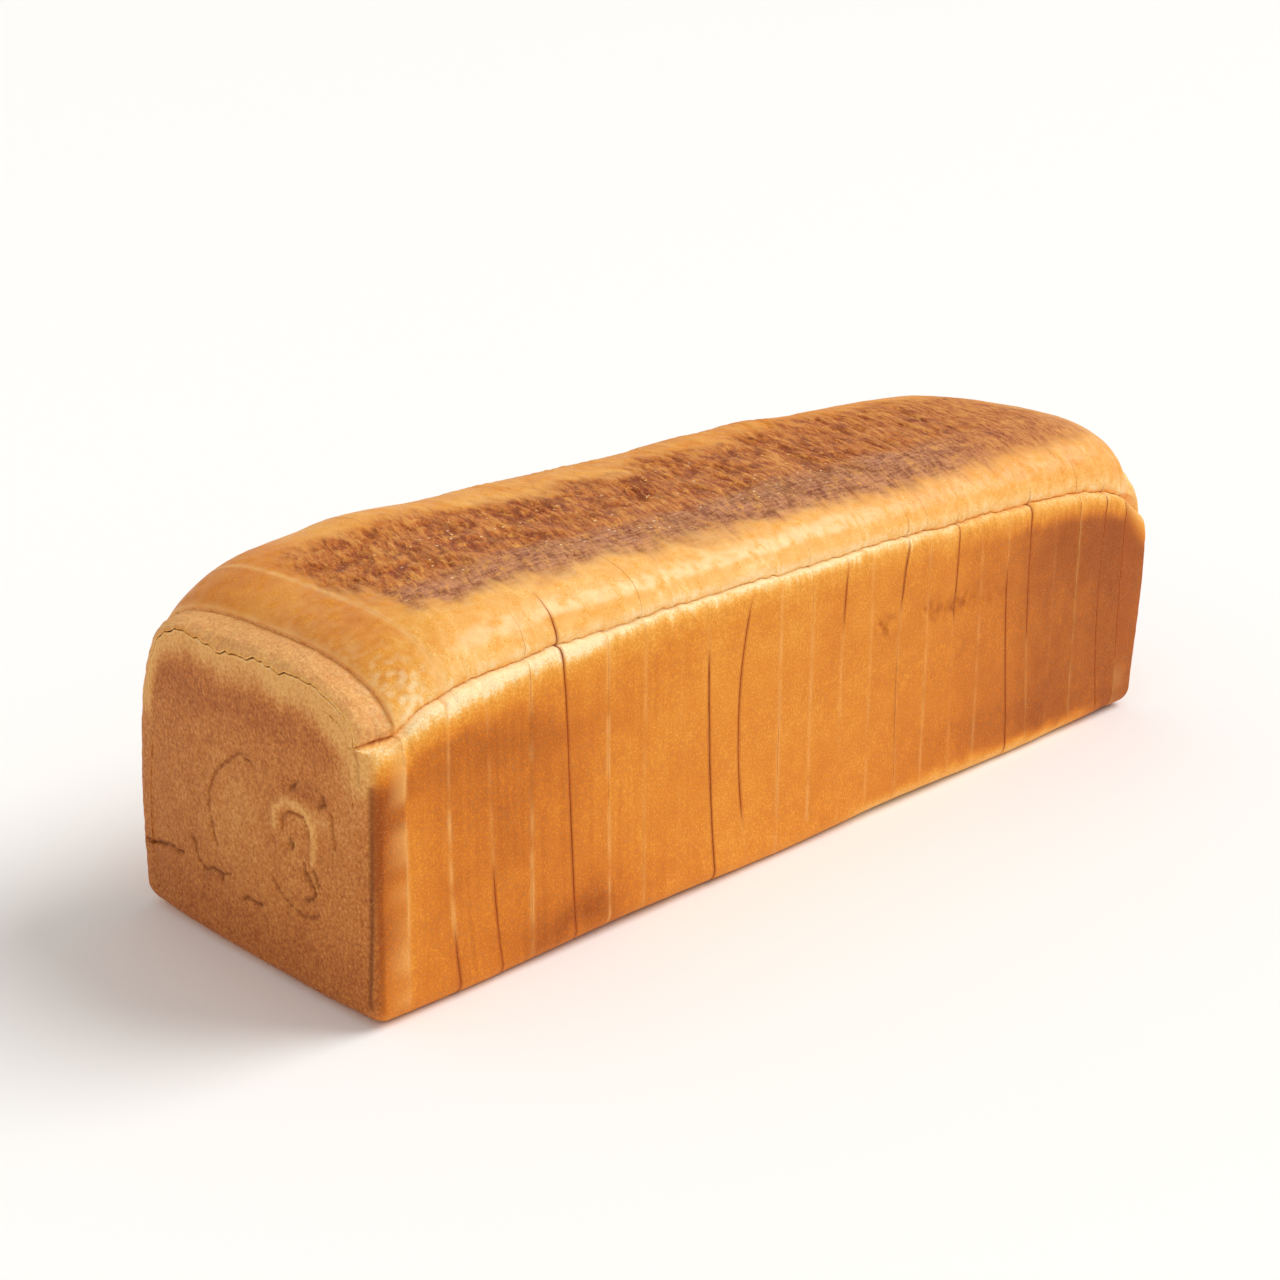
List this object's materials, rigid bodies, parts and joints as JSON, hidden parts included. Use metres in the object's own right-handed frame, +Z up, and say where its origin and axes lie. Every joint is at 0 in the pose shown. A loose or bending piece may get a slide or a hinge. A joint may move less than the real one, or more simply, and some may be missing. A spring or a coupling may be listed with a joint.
{
  "type": "sliced tin loaf",
  "caption": "Long white tin loaf with a browned, split-sided crown, cut across into even slices and standing whole on its flat base.",
  "frame": {"origin": "middle of the loaf's footprint, on the flat base", "axes": "+X along the loaf from its near heel to its far heel, +Z up"},
  "size_m": [0.3272, 0.1056, 0.101],
  "materials": {
    "crust": "baked bread crust, dull with a soft sheen on the crown",
    "end_crust": "baked bread crust of the two heels, dull and a little darker"
  },
  "bodies": {
    "root": {"heel_near": "end_crust", "slice_01": "crust", "slice_02": "crust", "slice_03": "crust", "slice_04": "crust", "slice_05": "crust", "slice_06": "crust", "slice_07": "crust", "slice_08": "crust", "slice_09": "crust", "slice_10": "crust", "slice_11": "crust", "slice_12": "crust", "slice_13": "crust", "slice_14": "crust", "slice_15": "crust", "slice_16": "crust", "slice_17": "crust", "slice_18": "crust", "slice_19": "crust", "slice_20": "crust", "slice_21": "crust", "slice_22": "crust", "slice_23": "crust", "heel_far": "end_crust"}
  },
  "joints": []
}
